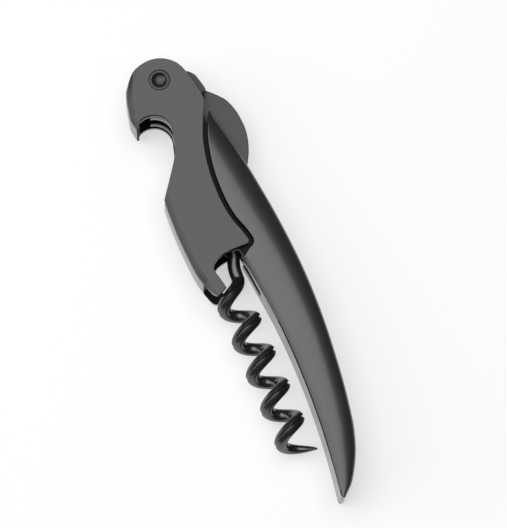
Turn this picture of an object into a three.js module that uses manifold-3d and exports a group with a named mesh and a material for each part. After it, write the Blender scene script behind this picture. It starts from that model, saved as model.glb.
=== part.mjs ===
// A two-step waiter's corkscrew, folded shut and lying on its side.
// Millimetres. X runs from the head to the tail, Y from the worm's side to the spine, Z up through
// the thickness.
// The head rivet's axis is the zero of X and Y while the tool is built; the finished tool is then centred.
import * as THREE from "three";
import { mergeVertices } from "three/addons/utils/BufferGeometryUtils.js";
import Module from "manifold-3d";

const wasm = await Module();
wasm.setup();

// Worm: a grooved wire of round section, wound right-handed, with an eye at its upper end.
const wireDiameter = 3.3;
const wormPitch = 9.05;
const wormStraightLength = 8.4;
const wormRunInLength = 9;
const wormRunInPower = 1.5;
const wormTurns = 4.98;
const wormLeanDegrees = 0.87;
const wormTipLength = 5;
const wormTipDiameter = 0.7;
const wireGrooveWidth = 1;
const wireGrooveDepth = 0.5;
const wormEyeRadius = 3.4;
const wormEyeThickness = 3.1;
const wormToHandleGap = 2.4;

// Layers through the thickness, from the outside to the middle.
const plateThickness = 1.5;
const leverWasherThickness = 0.9;
const linerThickness = 2.2;
const wormWasherThickness = 0.4;
const knifeThickness = 1.5;
const turningGap = 0.1;

// Lever: a channel of plate that folds over the liners.
const leverReach = 56.6;
const leverDepth = 19;
const webThickness = 1.5;
const bendRadius = 2.3;
const hookRadius = 4.75;
const footCornerRadius = 0.9;
const wormToPlateGap = 0.45;

// Head rivet, pins and washers.
const rivetHeadRadius = 2.65;
const rivetShaftRadius = 1.9;
const dimpleRadius = 1.75;
const dimpleDepth = 0.95;
const headSpacerRadius = 2.8;
const leverWasherRadius = 4;
const knifePinRadius = 1.2;
const wormPinRadius = 1.5;
const springPinRadius = 0.9;
const handlePinRadius = 1.1;
const handlePinSkin = 1.4;
const washerRim = 1.2;
const pinGap = 0.2;

// Liners: the two ears at the head, running back into the handle.
const earRadius = 5;
const knifeBossRadius = 5.05;
const wormBossRadius = 3.7;
const linerInset = 0.5;
const linerSpineInset = 2.7;
const earSetBack = 0.15;

// Knife and its leaf spring.
const knifeReach = 27.7;
const knifeRise = 11.3;
const knifeTangRadius = 2.9;
const springThickness = 0.9;
const springSideGap = 0.2;
const springFootLength = 6;
const springFootRim = 0.7;

// Handle: two shells that meet in the middle, round the liners.
const tailLength = 57.9;
const handleRise = 15.8;
const recessGap = 1.2;
const pocketGap = 0.25;
const innerBevelWidth = 1.1;
const innerBevelHeight = 0.9;
const tailCornerRadius = 0.9;
const wormSlotLength = 9;
const wormSlotDepth = 1.7;
const spacerLength = 11;
const spacerToEyeGap = 1;

const overrun = 1;

// How finely round forms are cut into flats.
const circleSteps = 32;
const stepsPerShare = 4;
const bevelSteps = 5;
const dimpleSteps = 6;
const spineSteps = 72;
const innerSteps = 40;
const handleSteps = 60;
const crownSteps = 7;
const spineRoundSteps = 4;
const springSteps = 14;
const wireSteps = 10;
const wormSteps = 116;
const wormGapSteps = 400;

// Sizes that follow from the ones above.
const slotWidth = wormEyeThickness + 2 * (wormWasherThickness + turningGap);
const sideGap = leverWasherThickness + turningGap;
const thickness = slotWidth + 2 * (linerThickness + sideGap + plateThickness);
const middle = thickness / 2;
const handleReach = leverReach + tailLength;
const linerInner = slotWidth / 2;
const linerOuter = linerInner + linerThickness;
const wormRadius = middle - plateThickness - wormToPlateGap;
const wireRadius = wireDiameter / 2;

// Places along and across the tool, as shares of the lever's or the handle's reach and rise. A place on the
// handle follows the lever's reach up to the lever's foot, and the tail's length beyond it.
const footShare = 0.4943;
const knifePin = place([0.069, 0.253], leverReach, leverDepth);
const wormPin = place([0.772, 0.105], leverReach, leverDepth);
const springPin = place([0.615, -0.03], leverReach, leverDepth);
const hookCentre = place([0.2226, -0.337], leverReach, leverDepth);
const handlePinShares = [[0.33, 0.567], [0.49, 0.586], [0.74, 0.586]];
const handlePins = handlePinShares.map(handlePlace);
const spacerStart = wormPin.x + wormEyeRadius + spacerToEyeGap;
handlePins[1].x = spacerStart + spacerLength / 2;

// Lever outline, in four runs between its corners.
const spineSideShares = [
  [-0.022, -0.436], [-0.078, -0.283], [-0.101, -0.065], [-0.091, 0.13], [-0.052, 0.289], [0, 0.366],
  [0.078, 0.424], [0.154, 0.446], [0.221, 0.361], [0.327, 0.235], [0.463, 0.156], [0.6, 0.146],
  [0.7, 0.185], [0.77, 0.253], [0.817, 0.29],
];
const notchShares = [
  [0.832, 0.02], [0.843, -0.145], [0.865, -0.247], [0.892, -0.279], [0.938, -0.247], [0.981, -0.221],
];
const toothShares = [[0.994, -0.295], [1, -0.35], [0.994, -0.392], [0.979, -0.423]];
const footWebShares = [[0.93, -0.478], [0.86, -0.523], [0.71, -0.553], [0.6, -0.554], [0.524, -0.546]];
const waistShares = [[0.516, -0.543], [0.497, -0.501], [0.435, -0.369], [0.356, -0.211], [0.309, -0.15]];
const barbShares = [[0.157, -0.482], [0.168, -0.49], [0.1705, -0.521]];
const headWebShares = [[0.157, -0.534], [0.115, -0.555], [0.069, -0.53], [0.025, -0.503], [-0.011, -0.465]];
const webStartShare = -0.018;
const footWebEndShare = 0.93;

// Handle outline: the spine and the inner edge.
const spineShares = [
  [0.085, 0.541], [0.11, 0.592], [0.142, 0.655], [0.207, 0.757], [0.268, 0.833], [0.359, 0.921],
  [0.451, 0.979], [0.525, 1], [0.595, 0.993], [0.663, 0.964], [0.765, 0.89], [0.846, 0.797],
  [0.879, 0.739], [0.909, 0.667], [0.935, 0.58], [0.961, 0.472], [0.981, 0.367], [1, 0.209],
];
const innerShares = [
  [0.1, -0.246], [0.3, -0.049], [0.438, 0.153], [0.511, 0.222], [0.584, 0.279], [0.665, 0.31],
  [0.756, 0.31], [0.845, 0.279], [0.926, 0.222], [1, 0.15],
];

// Handle section, as shares of half its width and half its thickness: level at the inner edge, falling
// ever faster towards the spine, and then rounded down the side.
const crownFallShare = 0.3;
const crownPower = 3.8;
const spineRoundWidthShare = 0.14;
const spineRoundFallShare = 0.19;
const spineRoundStartDegrees = 40;

// Where the pieces inside the handle start and end along it.
const handleFrontShare = 0.1;
const recessEndShare = 0.439;
const linerStartShare = 0.14;
const linerEndShare = 0.52;
const neckStartShare = 0.28;
const neckEndShare = 0.37;

// Liner outline between the head and the handle, and the knife's outline from its pin.
const linerTopShares = [
  [0.046, 0.503], [0.076, 0.524], [0.1, 0.537], [0.109, 0.526], [0.111, 0.489], [0.117, 0.453],
  [0.141, 0.416], [0.186, 0.384], [0.239, 0.384],
];
const knifeBackShares = [
  [0.035, 0.47], [0.085, 0.602], [0.146, 0.747], [0.192, 0.835], [0.25, 0.903], [0.33, 0.962], [0.42, 0.992],
  [0.509, 1], [0.617, 0.961], [0.72, 0.88], [0.794, 0.79], [0.859, 0.69], [0.94, 0.5], [1, 0.28],
];
const knifeEdgeShares = [[0.93, 0.11], [0.75, -0.05], [0.5, -0.14], [0.25, -0.18]];
const springShares = [[0.141, 0.015], [0.247, -0.02], [0.389, -0.06], [0.5, -0.07], [0.6, -0.07]];

function place([alongShare, acrossShare], reach, rise) {
  return new THREE.Vector2(alongShare * reach, acrossShare * rise);
}

function handlePlace([alongShare, acrossShare]) {
  return new THREE.Vector2(handleAlong(alongShare), acrossShare * handleRise);
}

function handleAlong(share) {
  if (share < footShare) return (share / footShare) * leverReach;
  return leverReach + ((share - footShare) / (1 - footShare)) * tailLength;
}

function through(points, steps = stepsPerShare * points.length) {
  return new THREE.SplineCurve(points).getPoints(steps);
}

function curve(shares, reach, rise) {
  return through(shares.map((share) => place(share, reach, rise)));
}

function arc(centre, radius, fromDegrees, toDegrees, steps = 12) {
  const points = [];
  for (let i = 0; i <= steps; i += 1) {
    const angle = THREE.MathUtils.degToRad(fromDegrees + ((toDegrees - fromDegrees) * i) / steps);
    points.push(new THREE.Vector2(radius, 0).rotateAround(new THREE.Vector2(), angle).add(centre));
  }
  return points;
}

// The same line moved sideways: to its left, as it runs, for a positive distance.
function beside(line, distance) {
  return line.map((point, i) => {
    const before = line[Math.max(i - 1, 0)];
    const after = line[Math.min(i + 1, line.length - 1)];
    const run = after.clone().sub(before).normalize();
    return new THREE.Vector2(point.x - run.y * distance, point.y + run.x * distance);
  });
}

// Height of a line over a place along the tool.
function heightAt(line, x) {
  const next = line.findIndex((point) => point.x >= x);
  if (next < 1) return next === 0 ? line[0].y : line[line.length - 1].y;
  const from = line[next - 1];
  const to = line[next];
  return from.y + ((to.y - from.y) * (x - from.x)) / (to.x - from.x);
}

function solid(geometry) {
  const bare = geometry.index ? geometry.toNonIndexed() : geometry.clone();
  bare.deleteAttribute("normal");
  bare.deleteAttribute("uv");
  const merged = mergeVertices(bare);
  return new wasm.Manifold(
    new wasm.Mesh({
      numProp: 3,
      vertProperties: merged.getAttribute("position").array,
      triVerts: new Uint32Array(merged.index.array),
    }),
  );
}

function prism(outline, bottom, top, bevel = {}) {
  const shape = new THREE.Shape(outline);
  const edge = bevel.height ?? 0;
  const geometry = new THREE.ExtrudeGeometry(shape, {
    depth: top - bottom - 2 * edge,
    bevelEnabled: edge > 0,
    bevelThickness: edge,
    bevelSize: bevel.width ?? 0,
    bevelOffset: -(bevel.width ?? 0),
    bevelSegments: bevel.steps ?? bevelSteps,
  });
  return solid(geometry.translate(0, 0, bottom + edge));
}

function disc(centre, radius, bottom, top, topRadius = radius) {
  const geometry = new THREE.CylinderGeometry(topRadius, radius, top - bottom, circleSteps);
  return solid(geometry.rotateX(Math.PI / 2).translate(centre.x, centre.y, (bottom + top) / 2));
}

function washer(centre, radius, boreRadius, bottom, top) {
  const bore = disc(centre, boreRadius, bottom - overrun, top + overrun);
  return disc(centre, radius, bottom, top).subtract(bore);
}

function hole(centre, radius) {
  return disc(centre, radius, -overrun, thickness + overrun);
}

// A line swept through stations, each with its own place and section axes, so a section can grow and turn.
class StationLine extends THREE.Curve {
  constructor(stationAt) {
    super();
    this.stationAt = stationAt;
  }

  getPoint(t) {
    return this.stationAt(t).place;
  }

  getSpacedPoints(steps) {
    return this.getPoints(steps);
  }

  computeFrenetFrames(steps) {
    const frames = { tangents: [], normals: [], binormals: [] };
    for (let i = 0; i <= steps; i += 1) {
      const station = this.stationAt(i / steps);
      frames.tangents.push(station.along);
      frames.normals.push(station.across);
      frames.binormals.push(station.up);
    }
    return frames;
  }
}

function sweep(section, stationAt, steps) {
  const shape = new THREE.Shape(section);
  return solid(new THREE.ExtrudeGeometry(shape, { steps, extrudePath: new StationLine(stationAt) }));
}

const origin = new THREE.Vector2();
const spineSide = curve(spineSideShares, leverReach, leverDepth);
const footWeb = curve(footWebShares, leverReach, leverDepth);
const hook = arc(hookCentre, hookRadius, 72, 212, 20);
const waist = through([...waistShares.map((share) => place(share, leverReach, leverDepth)), hook[0]]);
const barb = barbShares.map((share) => place(share, leverReach, leverDepth));
const headWeb = curve(headWebShares, leverReach, leverDepth);
const footCorner = spineSide[spineSide.length - 1].clone().sub(new THREE.Vector2(0, footCornerRadius));
const linerTop = curve(linerTopShares, leverReach, leverDepth);
const spine = through(spineShares.map(handlePlace), spineSteps);
const innerEdge = through(innerShares.map(handlePlace), innerSteps);
const low = -leverDepth;
const far = handleReach;

// Lever: both plates in one outline, folded round at the outer web, with a channel cut out between them.
function buildLever() {
  const outline = [
    ...spineSide,
    ...arc(footCorner, footCornerRadius, 75, 10, 3),
    ...curve(notchShares, leverReach, leverDepth),
    ...curve(toothShares, leverReach, leverDepth),
    ...footWeb,
    ...waist,
    ...hook.slice(1),
    ...barb,
    ...headWeb,
  ];
  const headEnd = headWeb[headWeb.length - 1];
  const foldShape = [
    new THREE.Vector2(far, far),
    new THREE.Vector2(far, footWeb[0].y),
    ...footWeb,
    ...headWeb,
    new THREE.Vector2(headEnd.x - far, headEnd.y + far / 2),
    new THREE.Vector2(-far, far),
  ];
  const folded = prism(foldShape, 0, thickness, { height: bendRadius, width: bendRadius });
  return prism(outline, 0, thickness)
    .intersect(folded)
    .subtract(leverChannel())
    .subtract(rivetHole());
}

function leverChannel() {
  const webStart = webStartShare * leverReach;
  const webEnd = footWebEndShare * leverReach;
  const footInside = beside(footWeb, -webThickness).filter((point) => point.x < webEnd);
  const headInside = beside(headWeb, -webThickness).filter((point) => point.x > webStart);
  const barbEnd = Math.max(...barb.map((point) => point.x)) + overrun;
  const waistStart = footInside[footInside.length - 1].x;
  const shape = [
    new THREE.Vector2(far, far),
    new THREE.Vector2(far, low),
    new THREE.Vector2(webEnd, low),
    new THREE.Vector2(webEnd, footInside[0].y),
    ...footInside,
    new THREE.Vector2(waistStart, low),
    new THREE.Vector2(barbEnd, low),
    new THREE.Vector2(barbEnd, headInside[0].y),
    ...headInside,
    new THREE.Vector2(webStart, headInside[headInside.length - 1].y),
    new THREE.Vector2(webStart, low),
    new THREE.Vector2(-far, low),
    new THREE.Vector2(-far, far),
  ];
  return prism(shape, plateThickness, thickness - plateThickness);
}

function rivetHole() {
  const wide = rivetHeadRadius + pinGap;
  const narrow = rivetShaftRadius + pinGap;
  return hole(origin, narrow)
    .add(disc(origin, wide, 0, plateThickness, narrow))
    .add(disc(origin, narrow, thickness - plateThickness, thickness, wide));
}

// Rivet: a flush countersunk head at each side, with a round dimple in the one that shows.
function buildRivet() {
  const profile = [];
  for (let i = 0; i <= dimpleSteps; i += 1) {
    const angle = (i / dimpleSteps) * (Math.PI / 2);
    const sunk = dimpleDepth * Math.cos(angle);
    profile.push(new THREE.Vector2(dimpleRadius * Math.sin(angle), thickness - sunk));
  }
  profile.push(new THREE.Vector2(rivetHeadRadius, thickness));
  profile.push(new THREE.Vector2(rivetShaftRadius, thickness - plateThickness));
  profile.push(new THREE.Vector2(rivetShaftRadius, plateThickness));
  profile.push(new THREE.Vector2(rivetHeadRadius, 0));
  profile.push(new THREE.Vector2(0, 0));
  const geometry = new THREE.LatheGeometry(profile.reverse(), circleSteps);
  return solid(geometry.rotateX(Math.PI / 2));
}

// The tail of the liners inside the handle, grown all round by a gap when it serves as the shells' pocket.
function linerTail(grow) {
  const inset = beside(spine, grow - linerSpineInset);
  const end = handleAlong(linerEndShare) + grow;
  const start = handleAlong(linerStartShare);
  const top = inset.filter((point) => point.x > start && point.x < end);
  const edge = innerEdge.filter((point) => point.x > wormPin.x + wormBossRadius && point.x < end);
  const bottom = beside(edge, linerInset - grow);
  return { top: top.reverse(), bottom, end };
}

function linerOutline() {
  const tail = linerTail(0);
  const lastBottom = tail.bottom[tail.bottom.length - 1];
  const neckStart = neckStartShare * leverReach;
  const neckEnd = neckEndShare * leverReach;
  const neck = beside(waist, -linerInset).filter((point) => point.x > neckStart && point.x < neckEnd);
  return [
    ...arc(knifePin, knifeBossRadius, 120, 165, 5),
    ...arc(origin, earRadius, 125, 262, 16),
    ...arc(hookCentre, hookRadius + earSetBack, 170, 76, 14),
    ...neck.reverse(),
    ...arc(wormPin, wormBossRadius, 250, 330, 6),
    ...tail.bottom,
    new THREE.Vector2(tail.end, lastBottom.y + linerSpineInset),
    ...tail.top,
    ...linerTop.slice().reverse(),
  ];
}

function buildLiner(bottom) {
  return prism(linerOutline(), bottom, bottom + linerThickness)
    .subtract(hole(origin, rivetShaftRadius + pinGap))
    .subtract(hole(knifePin, knifePinRadius + pinGap))
    .subtract(hole(wormPin, wormPinRadius + pinGap))
    .subtract(hole(springPin, springPinRadius + pinGap))
    .subtract(handlePinHoles());
}

function handlePinHoles() {
  const bottom = handlePinSkin - pinGap;
  return handlePins
    .map((pin) => disc(pin, handlePinRadius + pinGap, bottom, thickness - bottom))
    .reduce((all, next) => all.add(next));
}

// Handle: one claw swept from head to tail, then cut for the lever, the liners, the knife and the worm.
function handleStation(t) {
  const x = THREE.MathUtils.lerp(handleAlong(handleFrontShare), handleReach, t);
  const top = heightAt(spine, x);
  const bottom = heightAt(innerEdge, x);
  return {
    place: new THREE.Vector3(x, (top + bottom) / 2, middle),
    along: new THREE.Vector3(1, 0, 0),
    across: new THREE.Vector3(0, (top - bottom) / 2, 0),
    up: new THREE.Vector3(0, 0, middle),
  };
}

function handleSection() {
  const crownEnd = 1 - spineRoundWidthShare;
  const crown = [];
  for (let i = 0; i <= crownSteps; i += 1) {
    const out = THREE.MathUtils.lerp(-1, crownEnd, i / crownSteps);
    crown.push(new THREE.Vector2(out, 1 - crownFallShare * ((1 + out) / 2) ** crownPower));
  }
  const shoulder = crown[crownSteps].y;
  const start = THREE.MathUtils.degToRad(spineRoundStartDegrees);
  const round = [];
  for (let i = 1; i <= spineRoundSteps; i += 1) {
    const angle = THREE.MathUtils.lerp(start, Math.PI / 2, i / spineRoundSteps);
    const outShare = (Math.sin(angle) - Math.sin(start)) / (1 - Math.sin(start));
    const downShare = 1 - Math.cos(angle) / Math.cos(start);
    const out = crownEnd + outShare * spineRoundWidthShare;
    round.push(new THREE.Vector2(out, shoulder - downShare * spineRoundFallShare));
  }
  const upper = [...crown, ...round];
  const lower = upper.map((point) => new THREE.Vector2(point.x, -point.y));
  return [...lower, ...upper.reverse()];
}

function buildHandle() {
  const tailLow = innerEdge[innerEdge.length - 1].y;
  const bevelShape = [
    ...innerEdge,
    new THREE.Vector2(2 * far, tailLow),
    new THREE.Vector2(2 * far, far),
    new THREE.Vector2(-far, far),
    new THREE.Vector2(-far, innerEdge[0].y),
  ];
  const bevel = { height: innerBevelHeight, width: innerBevelWidth, steps: 1 };
  const bevelled = prism(bevelShape, 0, thickness, bevel);
  const tailCorner = new THREE.Vector2(handleReach - tailCornerRadius, tailLow + tailCornerRadius);
  const ended = [
    new THREE.Vector2(-far, -far),
    new THREE.Vector2(tailCorner.x, -far),
    ...arc(tailCorner, tailCornerRadius, -90, 0, 4),
    new THREE.Vector2(handleReach, far),
    new THREE.Vector2(-far, far),
  ];
  return sweep(handleSection(), handleStation, handleSteps)
    .intersect(bevelled)
    .intersect(prism(ended, -overrun, thickness + overrun))
    .subtract(leverRecess())
    .subtract(linerPocket())
    .subtract(knifeSlot())
    .subtract(wormSlot())
    .subtract(handlePinHoles());
}

// The handle stops short of the lever's edge all the way round it.
function leverRecess() {
  const edge = beside(spineSide, recessGap).filter((point) => point.x > knifePin.x + knifeBossRadius);
  const corner = arc(footCorner, footCornerRadius + recessGap, 75, 10, 4);
  const inner = handleAlong(recessEndShare);
  return prism(
    [
      ...edge,
      ...corner,
      new THREE.Vector2(inner, heightAt(innerEdge, inner)),
      new THREE.Vector2(inner + overrun, low),
      new THREE.Vector2(-far, low),
      new THREE.Vector2(-far, edge[0].y),
    ],
    -overrun,
    thickness + overrun,
  );
}

function linerPocket() {
  const tail = linerTail(pocketGap);
  const lastBottom = tail.bottom[tail.bottom.length - 1];
  const headTop = linerTop[linerTop.length - 1];
  const outline = [
    new THREE.Vector2(-far, low),
    new THREE.Vector2(tail.bottom[0].x, low),
    ...tail.bottom,
    new THREE.Vector2(tail.end, lastBottom.y + linerSpineInset),
    ...tail.top,
    new THREE.Vector2(headTop.x, headTop.y + pocketGap),
    new THREE.Vector2(-far, headTop.y + pocketGap),
  ];
  return prism(outline, middle - linerOuter - pocketGap, middle + linerOuter + pocketGap);
}

function knifeSlot() {
  const reach = Math.hypot(knifeReach, knifeTangRadius) + pocketGap;
  return disc(knifePin, reach, middle - linerInner, middle + linerInner);
}

// A slot in the inner edge takes the worm's shank beside its eye.
function wormSlot() {
  const start = handleAlong(recessEndShare);
  const end = start + wormSlotLength;
  const slot = [
    new THREE.Vector2(wormPin.x, low),
    new THREE.Vector2(end, low),
    new THREE.Vector2(end, heightAt(innerEdge, end)),
    new THREE.Vector2(start, heightAt(innerEdge, start) + wormSlotDepth),
    new THREE.Vector2(wormPin.x, heightAt(innerEdge, start) + wormSlotDepth),
  ];
  return prism(slot, middle - linerInner, middle + linerInner);
}

function half(whole, bottom) {
  const across = [
    new THREE.Vector2(-far, -far),
    new THREE.Vector2(2 * far, -far),
    new THREE.Vector2(2 * far, far),
    new THREE.Vector2(-far, far),
  ];
  return whole.intersect(prism(across, bottom, bottom + middle));
}

// Spacer that holds the liners apart behind the worm's eye.
function buildSpacer() {
  const base = heightAt(innerEdge, spacerStart) + wormSlotDepth;
  const spacerEnd = spacerStart + spacerLength;
  const block = [
    new THREE.Vector2(spacerStart, base),
    new THREE.Vector2(spacerEnd, base),
    new THREE.Vector2(spacerEnd, far),
    new THREE.Vector2(spacerStart, far),
  ];
  return prism(linerOutline(), middle - linerInner, middle + linerInner)
    .intersect(prism(block, 0, thickness))
    .subtract(handlePinHoles());
}

// Knife: a flat blade with a round back, drawn from its pin.
function buildKnife() {
  const back = curve(knifeBackShares, knifeReach, knifeRise);
  const edge = curve(knifeEdgeShares, knifeReach, knifeRise);
  const tang = arc(origin, knifeTangRadius, 310, 100, 12);
  const outline = [...back, ...edge, ...tang].map((point) => point.clone().add(knifePin));
  return prism(outline, middle - knifeThickness / 2, middle + knifeThickness / 2).subtract(
    hole(knifePin, knifePinRadius + pinGap),
  );
}

// Leaf spring: it bears on the knife's tang and is pinned near the worm.
function buildSpring() {
  const tip = knifePin.clone().sub(new THREE.Vector2(0, knifeTangRadius + turningGap + springThickness));
  const points = [tip, ...springShares.map((share) => place(share, leverReach, leverDepth))];
  const line = through(points, springSteps);
  const leaf = [...line, ...beside(line, springThickness).reverse()];
  const foot = springPinRadius + springFootRim;
  const block = [
    new THREE.Vector2(springPin.x - springFootLength / 2, springPin.y - foot),
    new THREE.Vector2(springPin.x + springFootLength / 2, springPin.y - foot),
    new THREE.Vector2(springPin.x + springFootLength / 2, springPin.y + foot),
    new THREE.Vector2(springPin.x - springFootLength / 2, springPin.y + foot),
  ];
  const bottom = middle - linerInner + springSideGap;
  const top = middle + linerInner - springSideGap;
  return prism(leaf, bottom, top)
    .add(prism(block, bottom, top))
    .subtract(hole(springPin, springPinRadius + pinGap));
}

// Worm: straight at first, then wound about its own axis at an even pitch, thinning to a point. The winding
// gathers pace over the run-in, so an even helix of the same turns would have started at wormTurnStart.
const wormStraightEnd = wormPin.x + wormStraightLength;
const wormTurnStart = wormStraightEnd + wormRunInLength * (1 - 1 / wormRunInPower);

function wormStation(t) {
  const start = wormPin.x + wormPinRadius + pinGap + overrun / 2;
  const end = wormTurnStart + wormTurns * wormPitch;
  const x = THREE.MathUtils.lerp(start, end, t);
  const spread = wormSpreadAt(x, end);
  const step = wormPitch / 100;
  const before = wormSpreadAt(x - step, end).place;
  const after = wormSpreadAt(x + step, end).place;
  const along = after.clone().sub(before).normalize();
  const up = along.clone().cross(spread.outward).normalize();
  const across = up.clone().cross(along).normalize();
  return {
    place: spread.place,
    along,
    across: across.multiplyScalar(spread.radius),
    up: up.multiplyScalar(spread.radius),
  };
}

function wormSpreadAt(x, end) {
  const run = Math.max(x - wormStraightEnd, 0);
  const rate = (2 * Math.PI) / wormPitch;
  const gathered = Math.min(run / wormRunInLength, 1) ** wormRunInPower / wormRunInPower;
  const turn = rate * (wormRunInLength * gathered + Math.max(run - wormRunInLength, 0));
  const taper = THREE.MathUtils.clamp((x - (end - wormTipLength)) / wormTipLength, 0, 1);
  const radius = THREE.MathUtils.lerp(wireRadius, wormTipDiameter / 2, taper * taper);
  const outward = new THREE.Vector3(0, Math.cos(turn), Math.sin(turn));
  const coil = wormRadius - radius;
  const shank = THREE.MathUtils.smoothstep(x, wormPin.x, wormStraightEnd);
  const axisY = wormAxisY(x);
  const sideY = THREE.MathUtils.lerp(wormPin.y, axisY + coil, shank);
  const y = run > 0 ? axisY + coil * outward.y : sideY;
  const z = run > 0 ? middle + coil * outward.z : middle;
  return { place: new THREE.Vector3(x, y, z), outward, radius };
}

// The axis leans a little towards the handle, about the place where the first full turn ends.
function wormAxisY(x) {
  const firstTurn = wormTurnStart + wormPitch;
  const lean = Math.tan(THREE.MathUtils.degToRad(wormLeanDegrees));
  return heightAt(innerEdge, firstTurn) - wormToHandleGap - wormRadius + lean * (x - firstTurn);
}

function wireSection() {
  const halfGroove = Math.asin(wireGrooveWidth / wireDiameter);
  const points = [new THREE.Vector2(1 - wireGrooveDepth / wireRadius, 0)];
  for (let i = 0; i <= wireSteps; i += 1) {
    const angle = THREE.MathUtils.lerp(halfGroove, 2 * Math.PI - halfGroove, i / wireSteps);
    points.push(new THREE.Vector2(Math.cos(angle), Math.sin(angle)));
  }
  return points;
}

function buildWorm() {
  const bottom = middle - wormEyeThickness / 2;
  const top = middle + wormEyeThickness / 2;
  return sweep(wireSection(), wormStation, wormSteps)
    .add(disc(wormPin, wormEyeRadius, bottom, top))
    .subtract(hole(wormPin, wormPinRadius + pinGap));
}

// The least clear space in the worm, between points of the wire that lie half a turn or more apart.
function wormSelfGap() {
  const places = [];
  for (let i = 0; i <= wormGapSteps; i += 1) places.push(wormStation(i / wormGapSteps).place);
  let least = Infinity;
  for (const from of places) {
    for (const to of places) {
      if (to.x - from.x >= wormPitch / 2) least = Math.min(least, from.distanceTo(to));
    }
  }
  return least - wireDiameter;
}

const blackSteel = { color: 0x3b3a3a, roughness: 0.5, metalness: 0.35 };
const blackHandle = { color: 0x3a3b3c, roughness: 0.45, metalness: 0.2 };
const blackBlade = { color: 0x393a37, roughness: 0.5, metalness: 0.4 };
const glossBlack = { color: 0x101011, roughness: 0.2, metalness: 0.3 };
const bareSteel = { color: 0x8a8b8c, roughness: 0.35, metalness: 0.9 };

const tool = new THREE.Group();

function add(name, shape, finish) {
  const mesh = shape.getMesh();
  const geometry = new THREE.BufferGeometry();
  geometry.setAttribute("position", new THREE.BufferAttribute(mesh.vertProperties, 3));
  geometry.setIndex(new THREE.BufferAttribute(mesh.triVerts, 1));
  geometry.computeVertexNormals();
  const node = new THREE.Mesh(geometry, new THREE.MeshStandardMaterial(finish));
  node.name = name;
  tool.add(node);
}

// A washer of the given rim between two heights, and its like on the other side of the middle.
function addWasherPair(name, centre, outerRadius, shaftRadius, bottom, top) {
  const bore = shaftRadius + pinGap;
  add(`${name}_front`, washer(centre, outerRadius, bore, bottom, top), bareSteel);
  add(`${name}_rear`, washer(centre, outerRadius, bore, 2 * middle - top, 2 * middle - bottom), bareSteel);
}

function addPin(name, centre, radius) {
  add(name, disc(centre, radius, middle - linerOuter, middle + linerOuter), bareSteel);
}

const handle = buildHandle();
const slotTop = middle + linerInner;
const slotBottom = middle - linerInner;
const linerFace = middle + linerOuter;
const washerTop = linerFace + leverWasherThickness;
const spacerBore = rivetShaftRadius + pinGap;
const knifeTop = middle + knifeThickness / 2 + turningGap;
const wormTop = middle + wormEyeThickness / 2 + turningGap;

add("lever", buildLever(), blackSteel);
add("head_rivet", buildRivet(), blackSteel);
addWasherPair("lever_washer", origin, leverWasherRadius, rivetShaftRadius, linerFace, washerTop);
add("head_spacer", washer(origin, headSpacerRadius, spacerBore, slotBottom, slotTop), bareSteel);
add("liner_front", buildLiner(slotTop), blackSteel);
add("liner_rear", buildLiner(middle - linerOuter), blackSteel);
add("handle_shell_front", half(handle, middle), blackHandle);
add("handle_shell_rear", half(handle, 0), blackHandle);
add("handle_spacer", buildSpacer(), bareSteel);
add("knife", buildKnife(), blackBlade);
addPin("knife_pin", knifePin, knifePinRadius);
addWasherPair("knife_washer", knifePin, knifePinRadius + washerRim, knifePinRadius, knifeTop, slotTop);
add("knife_spring", buildSpring(), bareSteel);
addPin("spring_pin", springPin, springPinRadius);
add("worm", buildWorm(), glossBlack);
addPin("worm_pin", wormPin, wormPinRadius);
addWasherPair("worm_washer", wormPin, wormPinRadius + washerRim, wormPinRadius, wormTop, slotTop);
handlePins.forEach((pin, i) => {
  add(`handle_pin_${i + 1}`, disc(pin, handlePinRadius, handlePinSkin, thickness - handlePinSkin), bareSteel);
});

console.log("least gap between the worm's turns:", wormSelfGap().toFixed(2), "mm");

// The finished tool stands with its middle over zero and its rear face at zero height.
const box = new THREE.Box3().setFromObject(tool);
tool.position.set(-(box.min.x + box.max.x) / 2, -(box.min.y + box.max.y) / 2, 0);

export default tool;
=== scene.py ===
# %% [markdown]
# # A folded waiter's corkscrew on a pale table
# The tool lies flat, folded shut: a claw-shaped handle, a pressed steel lever over its inner edge, a
# grooved worm beside it and a round foil knife that stands out behind its spine. The solid model comes
# first and gives every place. Everything below is drawn in millimetres from the head rivet's axis, with
# X towards the tail, Y towards the spine and Z up, and turned into metres when a mesh is made. Outlines
# are written as shares of a piece's reach and height, so a piece keeps its shape when its size changes.

import math

import bpy
import numpy as np
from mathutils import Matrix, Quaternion, Vector


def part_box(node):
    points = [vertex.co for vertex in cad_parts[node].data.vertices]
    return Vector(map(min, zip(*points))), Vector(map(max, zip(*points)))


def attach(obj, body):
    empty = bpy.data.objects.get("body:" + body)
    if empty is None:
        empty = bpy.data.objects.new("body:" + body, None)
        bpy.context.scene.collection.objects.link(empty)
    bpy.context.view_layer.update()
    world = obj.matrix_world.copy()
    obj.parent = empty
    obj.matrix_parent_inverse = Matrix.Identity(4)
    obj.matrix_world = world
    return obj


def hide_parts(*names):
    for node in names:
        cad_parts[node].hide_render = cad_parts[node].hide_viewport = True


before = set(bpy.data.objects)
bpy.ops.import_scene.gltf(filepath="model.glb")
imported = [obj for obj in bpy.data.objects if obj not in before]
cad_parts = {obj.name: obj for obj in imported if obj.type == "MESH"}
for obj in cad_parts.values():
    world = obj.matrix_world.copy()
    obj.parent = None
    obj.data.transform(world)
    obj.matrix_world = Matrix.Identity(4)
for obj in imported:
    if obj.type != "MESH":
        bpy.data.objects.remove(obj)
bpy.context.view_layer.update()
bpy.ops.object.select_all(action="DESELECT")

MM = 0.001
rivet_low, rivet_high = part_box("head_rivet")
RIVET = ((rivet_low + rivet_high) / 2).xy
THICKNESS = rivet_high.z / MM
MIDDLE = THICKNESS / 2


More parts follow.
